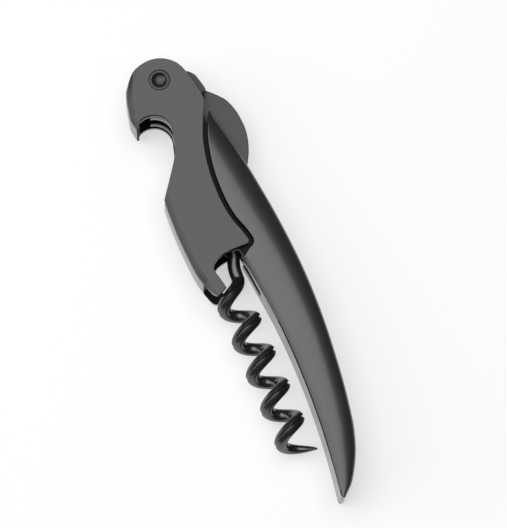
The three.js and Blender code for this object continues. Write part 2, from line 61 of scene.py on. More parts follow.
def row_place(x, y, z):
    """A place in millimetres from the rivet, as a place in metres in the model's own frame."""
    return Vector((RIVET.x + x * MM, RIVET.y + y * MM, z * MM))


print("rivet at", RIVET[:], "thickness", THICKNESS)

# %% [markdown]
# ## Camera
# The photograph is taken from almost straight above with a long lens, so the tool's sides are hardly
# seen. A long lens far away keeps parallel edges parallel. The camera looks from its place to the spot
# in the middle of the picture, and is then rolled a little about its own axis.

# %% Camera
CAMERA_PLACE = (177.34, -67.3, 669.1)
CAMERA_TARGET = (52.56, 4.22, 13.5)
CAMERA_ROLL = math.radians(7.975)
FOCAL_LENGTH = 184.84

bpy.ops.object.camera_add()
camera = bpy.context.object
camera.name = "photo_camera"
camera.data.lens = FOCAL_LENGTH
camera.location = row_place(*CAMERA_PLACE)
gaze = row_place(*CAMERA_TARGET) - camera.location
camera.rotation_mode = "QUATERNION"
camera.rotation_quaternion = gaze.to_track_quat("-Z", "Y") @ Quaternion((0, 0, 1), CAMERA_ROLL)
bpy.context.scene.camera = camera
print("camera", round(gaze.length, 3), "m from its target")

# %% [markdown]
# ## Light
# The black coating shows mostly what it mirrors. One wide soft lamp overhead gives the flat faces their
# grey sheen and ends where the spine turns away, which is what makes the spine's dark gradient. A smaller
# soft lamp, low on the side of the worm, lights the bevels and walls that turn that way. A dim even sky
# fills the shadows, and the pale table lights the walls that face it. Each lamp is given by its place and
# its width in metres and by its power in watts.

# %% Lamps and sky
OVERHEAD = ((-0.2, -0.09, 1.0), 1.4, 13.0)
SIDE = ((-0.25, -0.85, 0.42), 0.9, 4.0)
SKY_STRENGTH = 0.1


def add_lamp(name, place, size, power):
    bpy.ops.object.light_add(type="AREA", location=place)
    lamp = bpy.context.object
    lamp.name = name
    lamp.data.shape = "DISK"
    lamp.data.size = size
    lamp.data.energy = power
    lamp.rotation_mode = "QUATERNION"
    lamp.rotation_quaternion = (-lamp.location).to_track_quat("-Z", "Y")
    print(name, power, "W, tilted", round(math.degrees(lamp.location.angle(Vector((0, 0, 1))))), "degrees")


add_lamp("overhead_lamp", *OVERHEAD)
add_lamp("side_lamp", *SIDE)

sky = bpy.data.worlds.new("studio_sky")
sky.use_nodes = True
sky_light = sky.node_tree.nodes["Background"]
sky_light.inputs["Color"].default_value = (1.0, 1.0, 1.0, 1.0)
sky_light.inputs["Strength"].default_value = SKY_STRENGTH
bpy.context.scene.world = sky
bpy.context.scene.view_settings.view_transform = "Standard"
print("sky", SKY_STRENGTH)

# %% [markdown]
# ## Effects that several finishes share
# A real coating is never one flat value. Its sprayed skin has a fine grain that scatters the sheen, and
# its edges are a little paler: partly wear from fingers and folding, partly a painted highlight where the
# edges catch the light. Each effect is a node group with its own inputs, so that every finish can use it
# at its own strength.


# %% Node helpers
def new_group(name, inputs, outputs):
    group = bpy.data.node_groups.new(name, "ShaderNodeTree")
    for label, kind, value in inputs:
        socket = group.interface.new_socket(label, in_out="INPUT", socket_type=kind)
        socket.default_value = value
    for label, kind in outputs:
        group.interface.new_socket(label, in_out="OUTPUT", socket_type=kind)
    start = group.nodes.new("NodeGroupInput")
    end = group.nodes.new("NodeGroupOutput")
    return group, start, end


def new_material(name):
    material = bpy.data.materials.new(name)
    material.use_nodes = True
    return material, material.node_tree, material.node_tree.nodes["Principled BSDF"]


def preset(node, values):
    for label, value in values.items():
        node.inputs[label].default_value = value


def add_node(tree, kind, **settings):
    node = tree.nodes.new("ShaderNode" + kind)
    for name, value in settings.items():
        setattr(node, name, value)
    return node


def math_node(tree, operation, first, second):
    node = add_node(tree, "Math", operation=operation)
    for socket, value in zip(node.inputs, (first, second)):
        if isinstance(value, bpy.types.NodeSocket):
            tree.links.new(value, socket)
        else:
            socket.default_value = value
    return node.outputs[0]


# %% Grain: fine specks and broad cloudiness
SPECK_DETAIL = 3.0
CLOUD_DETAIL = 2.0
CLOUD_SCALE = 90.0


def build_grain_group():
    group, start, end = new_group(
        "coating_grain",
        [("Fineness", "NodeSocketFloat", 2500.0), ("Roughness", "NodeSocketFloat", 0.4),
         ("Spread", "NodeSocketFloat", 0.1), ("Dark", "NodeSocketColor", (0.02, 0.02, 0.02, 1)),
         ("Light", "NodeSocketColor", (0.03, 0.03, 0.03, 1))],
        [("Color", "NodeSocketColor"), ("Roughness", "NodeSocketFloat"), ("Height", "NodeSocketFloat")],
    )
    place = add_node(group, "TexCoord")
    specks = add_node(group, "TexNoise")
    preset(specks, {"Detail": SPECK_DETAIL})
    clouds = add_node(group, "TexNoise")
    preset(clouds, {"Scale": CLOUD_SCALE, "Detail": CLOUD_DETAIL})
    group.links.new(place.outputs["Object"], specks.inputs["Vector"])
    group.links.new(place.outputs["Object"], clouds.inputs["Vector"])
    group.links.new(start.outputs["Fineness"], specks.inputs["Scale"])
    blend = math_node(group, "ADD", specks.outputs["Fac"], clouds.outputs["Fac"])
    share = math_node(group, "MULTIPLY", blend, 0.5)
    tone = add_node(group, "Mix", data_type="RGBA")
    group.links.new(share, tone.inputs["Factor"])
    group.links.new(start.outputs["Dark"], tone.inputs["A"])
    group.links.new(start.outputs["Light"], tone.inputs["B"])
    group.links.new(tone.outputs["Result"], end.inputs["Color"])
    swing = math_node(group, "MULTIPLY", math_node(group, "SUBTRACT", share, 0.5), start.outputs["Spread"])
    group.links.new(math_node(group, "ADD", swing, start.outputs["Roughness"]), end.inputs["Roughness"])
    group.links.new(specks.outputs["Fac"], end.inputs["Height"])
    return group


# %% Edge wear and painted highlight: a broken mask along the edges
EDGE_RADIUS = 0.35
EDGE_SAMPLES = 6
EDGE_GAIN = 6.0
PATCH_SCALE = 400.0


def build_edge_group():
    group, start, end = new_group(
        "edge_wear_and_highlight",
        [("Strength", "NodeSocketFloat", 0.5)],
        [("Mask", "NodeSocketFloat")],
    )
    soft = add_node(group, "Bevel", samples=EDGE_SAMPLES)
    preset(soft, {"Radius": EDGE_RADIUS * MM})
    true_face = add_node(group, "NewGeometry")
    product = add_node(group, "VectorMath", operation="DOT_PRODUCT")
    group.links.new(soft.outputs["Normal"], product.inputs[0])
    group.links.new(true_face.outputs["Normal"], product.inputs[1])
    turn = math_node(group, "SUBTRACT", 1.0, product.outputs["Value"])
    strong = math_node(group, "MULTIPLY", turn, EDGE_GAIN)
    place = add_node(group, "TexCoord")
    patches = add_node(group, "TexNoise")
    preset(patches, {"Scale": PATCH_SCALE})
    group.links.new(place.outputs["Object"], patches.inputs["Vector"])
    broken = math_node(group, "MULTIPLY", strong, patches.outputs["Fac"])
    limited = math_node(group, "MINIMUM", broken, 1.0)
    group.links.new(math_node(group, "MULTIPLY", limited, start.outputs["Strength"]), end.inputs["Mask"])
    return group


GRAIN = build_grain_group()
EDGE_WEAR_AND_HIGHLIGHT = build_edge_group()
print("effects", GRAIN.name, EDGE_WEAR_AND_HIGHLIGHT.name)

# %% [markdown]
# ## Finishes
# Lever, liners, rivet and knife share one kind of finish, a sprayed satin coat over steel, each with its
# own tone. It is nearly black: the grey that one sees is the lamp's sheen, so the tone stays dark and the
# gloss makes the grey. A thin clear skin over it hardly shows from above but mirrors the table on walls
# that are seen almost edge-on. The handle's coat is a touch bluer, and the worm's is slick and glossy. The
# painted shade is a near-black, dull finish put on faces deep inside, where the real tool is in shade.

# %% Satin coat
PALER_EDGE_GAIN = 3.5
GRAIN_RELIEF = 0.05
SKIN_ROUGHNESS = 0.16
SKIN_IOR = 1.35


def satin_coat(name, dark, light, wear_and_highlight, roughness,
               level=0.5, skin=0.0, fineness=2500.0, bump=0.03, spread=0.12):
    """A sprayed coat between two tones, paler at its edges by wear and a painted highlight, with a clear skin
    over it if wanted.
    """
    material, tree, shader = new_material(name)
    grain = add_node(tree, "Group", node_tree=GRAIN)
    preset(grain, {"Fineness": fineness, "Roughness": roughness, "Spread": spread})
    preset(grain, {"Dark": (*dark, 1), "Light": (*light, 1)})
    edge = add_node(tree, "Group", node_tree=EDGE_WEAR_AND_HIGHLIGHT)
    preset(edge, {"Strength": wear_and_highlight})
    # Paler edges: partly wear, partly a painted highlight where the edges catch the light.
    tone = add_node(tree, "Mix", data_type="RGBA")
    preset(tone, {"B": (*[min(PALER_EDGE_GAIN * value, 1.0) for value in light], 1)})
    tree.links.new(edge.outputs["Mask"], tone.inputs["Factor"])
    tree.links.new(grain.outputs["Color"], tone.inputs["A"])
    tree.links.new(tone.outputs["Result"], shader.inputs["Base Color"])
    tree.links.new(grain.outputs["Roughness"], shader.inputs["Roughness"])
    relief = add_node(tree, "Bump")
    preset(relief, {"Strength": bump, "Distance": GRAIN_RELIEF * MM})
    tree.links.new(grain.outputs["Height"], relief.inputs["Height"])
    tree.links.new(relief.outputs["Normal"], shader.inputs["Normal"])
    preset(shader, {"Specular IOR Level": level, "Coat Weight": skin})
    preset(shader, {"Coat Roughness": SKIN_ROUGHNESS, "Coat IOR": SKIN_IOR})
    return material


LEVER_COAT = satin_coat(
    "lever_coat", (0.01, 0.0098, 0.0096), (0.015, 0.0147, 0.0143), wear_and_highlight=0.15, roughness=0.38,
    level=0.4, skin=0.7)
HANDLE_COAT = satin_coat(
    "handle_coat", (0.007, 0.0072, 0.0076), (0.01, 0.0102, 0.0107), wear_and_highlight=0.1, roughness=0.38,
    level=0.74, skin=0.6)
LINER_COAT = satin_coat(
    "liner_coat", (0.01, 0.01, 0.008), (0.013, 0.013, 0.0105), wear_and_highlight=0.3, roughness=0.36, skin=0.8)
KNIFE_COAT = satin_coat("knife_coat", (0.014, 0.014, 0.0115), (0.018, 0.018, 0.0145), wear_and_highlight=0.3, roughness=0.4)
RIVET_COAT = satin_coat("rivet_coat", (0.009, 0.009, 0.0085), (0.012, 0.012, 0.0115), wear_and_highlight=0.3, roughness=0.33)
# Painted shade: a near-black dull finish for faces deep inside, where the real tool is in shade.
PAINTED_SHADE = satin_coat(
    "painted_shade", (0.002, 0.002, 0.002), (0.003, 0.003, 0.003), wear_and_highlight=0.0, roughness=0.6, level=0.12)
WORM_COAT = satin_coat(
    "worm_coat", (0.008, 0.008, 0.0085), (0.013, 0.013, 0.014), wear_and_highlight=0.15, roughness=0.25,
    level=1.0, fineness=1400.0, bump=0.06, spread=0.1)
coats = [LEVER_COAT, HANDLE_COAT, LINER_COAT, KNIFE_COAT, RIVET_COAT, PAINTED_SHADE, WORM_COAT]
print("coats", [coat.name for coat in coats])

# %% [markdown]
# ## The liners' faces
# The liners' outer faces are dull olive where the ears stand out beside the head. Beneath the lever they
# are in its shadow, so the olive fades along the tool to near black: painted shade, in one finish with it.

# %% Liner faces: olive fading to painted shade
EAR_TONE = (0.07, 0.07, 0.058)
EAR_LIGHTER = 1.2
PAINTED_SHADE_TONE = (0.004, 0.004, 0.004)
SHADE_FADE_START = 7.6
SHADE_FADE_END = 12.0


def olive_fading_to_shade(name):
    light = [EAR_LIGHTER * value for value in EAR_TONE]
    material = satin_coat(name, EAR_TONE, light, wear_and_highlight=0.0, roughness=0.5, level=0.13)
    tree = material.node_tree
    base = tree.nodes["Principled BSDF"].inputs["Base Color"]
    place = add_node(tree, "TexCoord")
    parts = add_node(tree, "SeparateXYZ")
    tree.links.new(place.outputs["Object"], parts.inputs["Vector"])
    # Past the ears the tone fades to near black: painted shade where the lever covers the liner.
    under = add_node(tree, "MapRange", interpolation_type="SMOOTHSTEP")
    preset(under, {"From Min": RIVET.x + SHADE_FADE_START * MM, "From Max": RIVET.x + SHADE_FADE_END * MM})
    tree.links.new(parts.outputs["X"], under.inputs["Value"])
    tone = add_node(tree, "Mix", data_type="RGBA")
    preset(tone, {"B": (*PAINTED_SHADE_TONE, 1)})
    tree.links.new(under.outputs["Result"], tone.inputs["Factor"])
    tree.links.new(base.links[0].from_socket, tone.inputs["A"])
    tree.links.new(tone.outputs["Result"], base)
    return material


LINER_FACE_AND_SHADE = olive_fading_to_shade("liner_face_and_painted_shade")
print(LINER_FACE_AND_SHADE.name, "fades from", SHADE_FADE_START, "to", SHADE_FADE_END, "mm")

# %% [markdown]
# ## Bare steel
# The small turned pieces inside are bare steel, dulled by oil, with faint lathe marks. Noise that is
# squeezed along the axis of turning reads as such marks, in the tone and in the gloss.

# %% Bare steel
LATHE_SCALE = (400.0, 400.0, 6000.0)
STEEL_TONES = (0.14, 0.14, 0.145), (0.26, 0.26, 0.265)
STEEL_ROUGHNESS = 0.36
STEEL_SPREAD = 0.25


def tone_ramp(tree, value, tones):
    ramp = add_node(tree, "ValToRGB")
    for element, tone in zip(ramp.color_ramp.elements, tones):
        element.color = (*tone, 1)
    tree.links.new(value, ramp.inputs["Fac"])
    return ramp.outputs["Color"]


def bare_steel():
    material, tree, shader = new_material("turned_steel")
    place = add_node(tree, "TexCoord")
    stretch = add_node(tree, "Mapping")
    preset(stretch, {"Scale": LATHE_SCALE})
    marks = add_node(tree, "TexNoise")
    preset(marks, {"Scale": 1.0})
    tree.links.new(place.outputs["Object"], stretch.inputs["Vector"])
    tree.links.new(stretch.outputs["Vector"], marks.inputs["Vector"])
    tree.links.new(tone_ramp(tree, marks.outputs["Fac"], STEEL_TONES), shader.inputs["Base Color"])
    swing = math_node(tree, "MULTIPLY", marks.outputs["Fac"], STEEL_SPREAD)
    tree.links.new(math_node(tree, "ADD", swing, STEEL_ROUGHNESS), shader.inputs["Roughness"])
    preset(shader, {"Metallic": 1.0})
    return material


STEEL = bare_steel()
print(STEEL.name)

# %% [markdown]
# ## Table
# The tool lies on a plain pale table. Its colour is nearly white, and to the camera, and in what mirrors
# it, a part of plain white is mixed in, so that it looks pale without more light on the tool and still
# keeps the tool's soft shadow.

# %% Table
TABLE_SIZE = 3.0
TABLE_DROP = 0.02 * MM
TABLE_TONES = (0.93, 0.93, 0.935), (0.95, 0.95, 0.95)
TABLE_CLOUDS = 9.0
TABLE_ROUGHNESS = 0.9
TABLE_LEVEL = 0.1
TABLE_WHITE = (0.97, 0.968, 0.97)
WHITE_SHARE = 0.55


def table_finish():
    material, tree, shader = new_material("pale_table")
    place = add_node(tree, "TexCoord")
    clouds = add_node(tree, "TexNoise")
    preset(clouds, {"Scale": TABLE_CLOUDS})
    tree.links.new(place.outputs["Object"], clouds.inputs["Vector"])
    tree.links.new(tone_ramp(tree, clouds.outputs["Fac"], TABLE_TONES), shader.inputs["Base Color"])
    preset(shader, {"Roughness": TABLE_ROUGHNESS, "Specular IOR Level": TABLE_LEVEL})
    rays = add_node(tree, "LightPath")
    seen = math_node(tree, "MAXIMUM", rays.outputs["Is Camera Ray"], rays.outputs["Is Glossy Ray"])
    seen = math_node(tree, "MAXIMUM", seen, rays.outputs["Is Transmission Ray"])
    white = add_node(tree, "Emission")
    preset(white, {"Color": (*TABLE_WHITE, 1)})
    blend = add_node(tree, "MixShader")
    tree.links.new(math_node(tree, "MULTIPLY", seen, WHITE_SHARE), blend.inputs["Fac"])
    tree.links.new(shader.outputs["BSDF"], blend.inputs[1])
    tree.links.new(white.outputs["Emission"], blend.inputs[2])
    tree.links.new(blend.outputs["Shader"], tree.nodes["Material Output"].inputs["Surface"])
    return material


bpy.ops.mesh.primitive_plane_add(size=TABLE_SIZE, location=(0, 0, -TABLE_DROP))
table = bpy.context.object
table.name = "table_top"
table.data.materials.append(table_finish())
print("table", TABLE_SIZE, "m")

# %% [markdown]
# ## Lines and outlines
# The pressed pieces are flat shapes with curved outlines. Each outline is a smooth line through a few
# places, given as shares of the piece's reach and depth, joined to arcs and offset lines. A line is a
# plain table of places, so that two pieces can share it and one can follow the other at a set distance.

# %% Line helpers
SPAN_STEPS = 10


def spline(points, steps=None):
    """A smooth line through all the points, with even steps between them."""
    points = np.array(points, float)
    last = len(points) - 1
    line = []
    for t in np.linspace(0, last, (steps or SPAN_STEPS * last) + 1):
        i = min(int(t), last - 1)
        w = t - i
        a, b, c, d = (points[min(max(k, 0), last)] for k in (i - 1, i, i + 1, i + 2))
        into, out = (c - a) / 2, (d - b) / 2
        cubic, square = 2 * b - 2 * c + into + out, 3 * c - 3 * b - 2 * into - out
        line.append(cubic * w**3 + square * w**2 + into * w + b)
    return np.array(line)


def shared(shares, reach, rise):
    return np.array(shares, float) * (reach, rise)


def arc(centre, radius, start, end, steps=24):
    angles = np.radians(np.linspace(start, end, steps + 1))
    return np.array(centre) + radius * np.column_stack([np.cos(angles), np.sin(angles)])


def beside(line, distance):
    """The line moved to its left, as it runs."""
    run = np.gradient(line, axis=0)
    run /= np.linalg.norm(run, axis=1)[:, None]
    return line + distance * np.column_stack([-run[:, 1], run[:, 0]])


def height_at(line, x):
    return np.interp(x, line[:, 0], line[:, 1])


# %% [markdown]
# ## Making a piece from its sections
# Plates, shells, turned pins and the wire are all rows of sections joined by a skin. A grid primitive has
# such rows already, so its points are laid on the sections, its seam is welded, its two ends are filled
# and its faces are turned outwards. Holes and pockets are then cut with other pieces of the same kind.

# %% Mesh helpers: sections joined to a closed skin
WELD = 0.0005


def only(piece):
    bpy.ops.object.select_all(action="DESELECT")
    piece.select_set(True)
    bpy.context.view_layer.objects.active = piece


def loft(name, rings):
    """A grid whose rows are laid on the rings, closed along its seam and filled at both ends."""
    rings = np.array(rings, float)
    rows, points = rings.shape[:2]
    bpy.ops.mesh.primitive_grid_add(x_subdivisions=points, y_subdivisions=rows - 1, size=2)
    piece = bpy.context.object
    piece.name = name
    places = np.concatenate([rings, rings[:, :1]], axis=1).reshape(-1, 3)
    places = places * MM + (RIVET.x, RIVET.y, 0)
    piece.data.vertices.foreach_set("co", places.astype(np.float32).ravel())
    piece.data.update()
    bpy.ops.object.mode_set(mode="EDIT")
    bpy.ops.mesh.select_all(action="SELECT")
    bpy.ops.mesh.remove_doubles(threshold=WELD * MM)
    bpy.ops.mesh.select_all(action="SELECT")
    bpy.ops.mesh.fill_holes(sides=0)
    bpy.ops.mesh.select_all(action="SELECT")
    bpy.ops.mesh.normals_make_consistent(inside=False)
    bpy.ops.object.mode_set(mode="OBJECT")
    return piece


# %% Mesh helpers: plates with rounded rims
LEAST_STEP = 0.001
SUPPORT = 0.06


def inward(outline):
    """Directions into a closed outline at each point, longer at corners so that offsets stay even."""
    ahead = np.roll(outline, -1, axis=0) - outline
    ahead /= np.linalg.norm(ahead, axis=1)[:, None]
    behind = np.roll(ahead, 1, axis=0)
    sides = [np.column_stack([-run[:, 1], run[:, 0]]) for run in (behind, ahead)]
    middle = sides[0] + sides[1]
    middle *= (2 / np.maximum((middle**2).sum(axis=1), 1.0))[:, None]
    x, y = outline.T
    area = (x * np.roll(y, -1) - np.roll(x, -1) * y).sum()
    return middle if area > 0 else -middle


def slab(name, outline, bottom, top, width=0.0, drop=None, steps=4):
    """A plate with rounded rims, which take width of its faces and drop of its sides, per point if given."""
    outline = np.array(outline, float)
    gaps = np.linalg.norm(np.roll(outline, -1, axis=0) - outline, axis=1)
    kept = gaps > LEAST_STEP
    outline = outline[kept]
    width = np.broadcast_to(width, len(kept))[kept]
    drop = width if drop is None else np.broadcast_to(drop, len(kept))[kept]
    if not width.any():
        rings = [np.column_stack([outline, np.full(len(outline), z)]) for z in (bottom, top)]
        return loft(name, rings)
    into = inward(outline)
    rings = []
    for angle in np.radians(np.linspace(0, 90, steps + 1)):
        line = outline + into * (width * (1 - math.cos(angle)))[:, None]
        rings.append(np.column_stack([line, top - drop * (1 - math.sin(angle))]))
    line = outline + into * (width + SUPPORT)[:, None]
    rings.append(np.column_stack([line, np.full(len(outline), top)]))
    below = [ring * (1, 1, -1) + (0, 0, top + bottom) for ring in reversed(rings)]
    return loft(name, below + rings)


# %% Mesh helpers: turned pieces and cuts
def turned(name, centre, profile, steps=64):
    """A turned piece from a profile of radius and height pairs."""
    angles = np.linspace(0, 2 * math.pi, steps, endpoint=False)
    rings = []
    for radius, z in profile:
        ring = np.column_stack([radius * np.cos(angles), radius * np.sin(angles), np.full(steps, z)])
        rings.append(ring + (*centre, 0))
    return loft(name, rings)


def cut(piece, cutter, operation="DIFFERENCE"):
    only(piece)
    tool = piece.modifiers.new("cut", "BOOLEAN")
    tool.operation = operation
    tool.solver = "EXACT"
    tool.object = cutter
    bpy.ops.object.modifier_apply(modifier=tool.name)
    bpy.data.objects.remove(cutter, do_unlink=True)


# %% [markdown]
# ## Dressing a piece
# A finished piece is smoothed, given its coat, tied to the body that it moves with, and the solids that it
# stands in for are no longer shown. Some pieces take a second finish, mostly painted shade, on part of
# their faces. Those faces are picked by where they lie and by which way they turn, since cutting leaves
# them in no fixed order.

# %% Dressing a piece
FLAT = 0.9
QUITE_FLAT = 0.99
TURNED = 0.3
CLOSE = 0.1


def shade(piece, chosen):
    """Give each face the coat, or the painted shade, whose number the test makes from the faces' middles and
    normals.
    """
    count = len(piece.data.polygons)
    middles, normals = np.empty(3 * count, np.float32), np.empty(3 * count, np.float32)
    piece.data.polygons.foreach_get("center", middles)
    piece.data.polygons.foreach_get("normal", normals)
    middles = (middles.reshape(-1, 3) - (RIVET.x, RIVET.y, 0)) / MM
    picked = chosen(middles, normals.reshape(-1, 3))
    piece.data.polygons.foreach_set("material_index", picked.astype(np.int32))
    print(piece.name, np.count_nonzero(picked), "faces in another coat")


def dress(piece, material, slot, body, *nodes, angle=32, shade_picker=None, others=(PAINTED_SHADE,)):
    """Smooth the piece, give it its finish and any painted shade on picked faces, and let it ride in place of
    its solids.
    """
    only(piece)
    piece.data.materials.clear()
    piece.data.materials.append(material)
    # Picked faces get a second finish, mostly painted shade where the real tool is in shade.
    if shade_picker:
        for coat in others:
            piece.data.materials.append(coat)
        shade(piece, shade_picker)
    bpy.ops.object.shade_smooth_by_angle(angle=math.radians(angle))
    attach(piece, body)
    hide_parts(*nodes)
    print(piece.name, len(piece.data.polygons), "faces, for", ", ".join(nodes))


# %% [markdown]
# ## Lever
# The lever is one pressed sheet folded into a channel: a front plate, a rear plate and the outer web
# that joins them along the head and along the foot. Where the sheet folds, its rim is a wide round bend;
# everywhere else the rim is only eased. So two slabs are crossed: one has the lever's outline and eased
# rims, the other is bounded by the folds and has the wide bends. What they share is the pressing, and the
# channel between its plates is cut out afterwards. The channel's inside and the web's cut end at the barb
# take painted shade.

# %% Lever: named sizes
LEVER_REACH = 56.6
LEVER_DEPTH = 19.0
PLATE = 1.5
WEB = 1.5
BEND = 2.3
BEND_STEPS = 14
FOLD_MARGIN = 0.5
EASED = 0.1
HOOK_EASED = 0.42
BARB_EASED = 0.12
HOOK_RADIUS = 4.75
FOOT_CORNER_RADIUS = 0.9
WEB_START = -0.018 * LEVER_REACH
WEB_END = 0.93 * LEVER_REACH
FAR = 130.0


def on_lever(shares):
    return shared(shares, LEVER_REACH, LEVER_DEPTH)


def lever_line(shares):
    return spline(on_lever(shares))


RIVET_CENTRE = (0.0, 0.0)
RIVET_FLARE = 2.72
RIVET_HOLE = 2.1
KNIFE_PIN, KNIFE_PIN_RADIUS = on_lever([0.069, 0.253]), 1.2
WORM_PIN, WORM_PIN_RADIUS = on_lever([0.772, 0.105]), 1.5
SPRING_PIN, SPRING_PIN_RADIUS = on_lever([0.615, -0.03]), 0.9
HOOK_CENTRE = on_lever([0.2226, -0.337])
print("knife pin at", KNIFE_PIN, "worm pin at", WORM_PIN, "hook round", HOOK_CENTRE)

# %% Lever: outline
spine_side = lever_line([
    [-0.022, -0.436], [-0.078, -0.283], [-0.101, -0.065], [-0.091, 0.13], [-0.052, 0.289], [0, 0.366],
    [0.078, 0.424], [0.154, 0.446], [0.221, 0.361], [0.327, 0.235], [0.463, 0.156], [0.6, 0.146],
    [0.7, 0.185], [0.77, 0.253], [0.817, 0.29],
])
notch = lever_line([
    [0.832, 0.02], [0.843, -0.145], [0.865, -0.247], [0.892, -0.279], [0.938, -0.247], [0.981, -0.221],
])
tooth = lever_line([[0.994, -0.295], [1, -0.35], [0.994, -0.392], [0.979, -0.423]])
foot_web = lever_line([[0.93, -0.478], [0.86, -0.523], [0.71, -0.553], [0.6, -0.554], [0.524, -0.546]])
hook = arc(HOOK_CENTRE, HOOK_RADIUS, 72, 212, 40)
waist_shares = [[0.516, -0.543], [0.497, -0.501], [0.435, -0.369], [0.356, -0.211], [0.309, -0.15]]
waist = spline([*on_lever(waist_shares), hook[0]])
barb = on_lever([[0.157, -0.482], [0.168, -0.49], [0.1705, -0.521]])
head_web = lever_line([[0.157, -0.534], [0.115, -0.555], [0.069, -0.53], [0.025, -0.503], [-0.011, -0.465]])
foot_corner = spine_side[-1] - (0, FOOT_CORNER_RADIUS)
print("lever from", head_web[:, 0].min().round(2), "to", tooth[:, 0].max().round(2), "mm")


# %% Lever: pressing
def past(start, end):
    """A place a little beyond the end of the straight line from start to end."""
    run = np.array(end) - start
    return np.array(end) + FOLD_MARGIN * run / np.linalg.norm(run)


def outside(fold, before, after):
    """The outline along a fold, drawn a little outside it so that only the bend shapes the rim there."""
    line = beside(fold, FOLD_MARGIN)[2:-2]
    return np.concatenate([[past(before, fold[0])], line, [past(after[1], after[0])]])


def lever_rim():
    corner = arc(foot_corner, FOOT_CORNER_RADIUS, 75, 10, 8)
    runs = [
        (spine_side, EASED), (corner, EASED), (notch, EASED), (tooth, EASED),
        (outside(foot_web, tooth[-1], waist), EASED), (waist, EASED), (hook[1:], HOOK_EASED),
        (barb, BARB_EASED), (outside(head_web, barb[-1], spine_side), EASED),
    ]
    outline = np.concatenate([points for points, _ in runs])
    widths = np.concatenate([np.full(len(points), width) for points, width in runs])
    return outline, widths


def folded_sheet():
    foot, head = foot_web[0], head_web[-1]
    outline = [
        (FAR, FAR), (FAR, foot[1]), *foot_web, *head_web, (head[0] - FAR, head[1] + FAR / 2), (-FAR, FAR),
    ]
    return slab("fold_shape", outline, 0, THICKNESS, BEND, steps=BEND_STEPS)


# %% Lever: channel and rivet hole
DRILL_PAST = 0.2


def channel():
    foot_inside = beside(foot_web, -WEB)
    foot_inside = foot_inside[foot_inside[:, 0] < WEB_END]
    head_inside = beside(head_web, -WEB)
    head_inside = head_inside[head_inside[:, 0] > WEB_START]
    barb_end = barb[:, 0].max() + 1
    outline = [
        (FAR, FAR), (FAR, -FAR), (WEB_END, -FAR), (WEB_END, foot_inside[0][1]), *foot_inside,
        (foot_inside[-1][0], -FAR), (barb_end, -FAR), (barb_end, head_inside[0][1]), *head_inside,
        (WEB_START, head_inside[-1][1]), (WEB_START, -FAR), (-FAR, -FAR), (-FAR, FAR),
    ]
    return slab("channel_cutter", outline, PLATE, THICKNESS - PLATE)


def flared_drill():
    front = THICKNESS
    return turned("rivet_drill", RIVET_CENTRE, [
        (RIVET_FLARE + DRILL_PAST, -DRILL_PAST), (RIVET_FLARE, 0), (RIVET_HOLE, PLATE),
        (RIVET_HOLE, front - PLATE), (RIVET_FLARE, front), (RIVET_FLARE + DRILL_PAST, front + DRILL_PAST),
    ])


def build_lever():
    outline, widths = lever_rim()
    lever = slab("lever_pressing", outline, 0, THICKNESS, widths)
    cut(lever, folded_sheet(), "INTERSECT")
    cut(lever, channel())
    cut(lever, flared_drill())
    return lever


# %% Lever: painted shade inside the channel
CUT_END_REACH = 1.2
CUT_END_TURNED = 0.6


def shaded_inside_channel(middles, normals):
    """The plates' inner faces, the web's inner side and its cut end at the barb, all in painted shade."""
    x, y, z = middles.T
    between = np.abs(z - MIDDLE) < MIDDLE - PLATE + 0.01
    inner = (np.abs(normals[:, 2]) > FLAT) | (normals[:, 1] > TURNED)
    at_barb = (np.abs(x - barb[:, 0].max()) < CUT_END_REACH) & (y < barb[0, 1])
    return (between & inner) | (at_barb & (normals[:, 0] > CUT_END_TURNED))


dress(build_lever(), LEVER_COAT, "lever_steel", "lever", "lever", shade_picker=shaded_inside_channel)

# %% [markdown]
# ## Head rivet
# The rivet is a turned pin whose flared heads lie flush in the plates. Its front head has a round dimple
# from the riveting punch, with a fine ring pressed round it. It is drawn as a profile and turned. The small
# steps of its rims are pairs: how far in from the head's radius, and how far below its face.

# %% Head rivet
RIVET_HEAD = 2.62
RIVET_SHAFT = 1.9
DIMPLE = 1.83
DIMPLE_DEPTH = 0.9
DIMPLE_LIP = 0.05
REAR_CENTRE = 0.3
REAR_RIM = (0.16, 0.02), (0.06, 0.06), (0.02, 0.16)
FRONT_RIM = (0.01, 0.12), (0.04, 0.05), (0.12, 0.01)
PRESSED_RING = (0.32, 0.0), (0.14, 0.02), (0.03, 0.09)


def build_rivet():
    front = THICKNESS
    rear = [(REAR_CENTRE, 0.0), *[(RIVET_HEAD - inset, sunk) for inset, sunk in REAR_RIM]]
    shaft = [(RIVET_SHAFT, PLATE), (RIVET_SHAFT, front - PLATE)]
    rim = [(RIVET_HEAD - inset, front - sunk) for inset, sunk in FRONT_RIM]
    ring = [(DIMPLE + beyond, front - sunk) for beyond, sunk in PRESSED_RING]
    bowl = [(DIMPLE * math.sin(a), front - DIMPLE_LIP - (DIMPLE_DEPTH - DIMPLE_LIP) * math.cos(a))
            for a in np.radians(np.linspace(82, 4, 12))]
    return turned("rivet_turning", RIVET_CENTRE, rear + shaft + rim + ring + bowl, steps=72)


dress(build_rivet(), RIVET_COAT, "lever_steel", "lever", "head_rivet", angle=50)

# %% [markdown]
# ## Liners
# Two steel liners run from the head into the handle and carry every pin. Their rounded ears show in the
# hook and beside the head, so their rims are eased to catch the light. Their outer faces take the olive
# finish, which fades to painted shade where the lever covers them, and the faces that they turn to each
# other take painted shade. Inside the handle they follow its spine and inner edge at a set distance, so
# the handle's own two lines are drawn first.

# %% Handle lines
TAIL_LENGTH = 57.9
HANDLE_REACH = LEVER_REACH + TAIL_LENGTH
HANDLE_RISE = 15.8
FOOT_SHARE = 0.4943


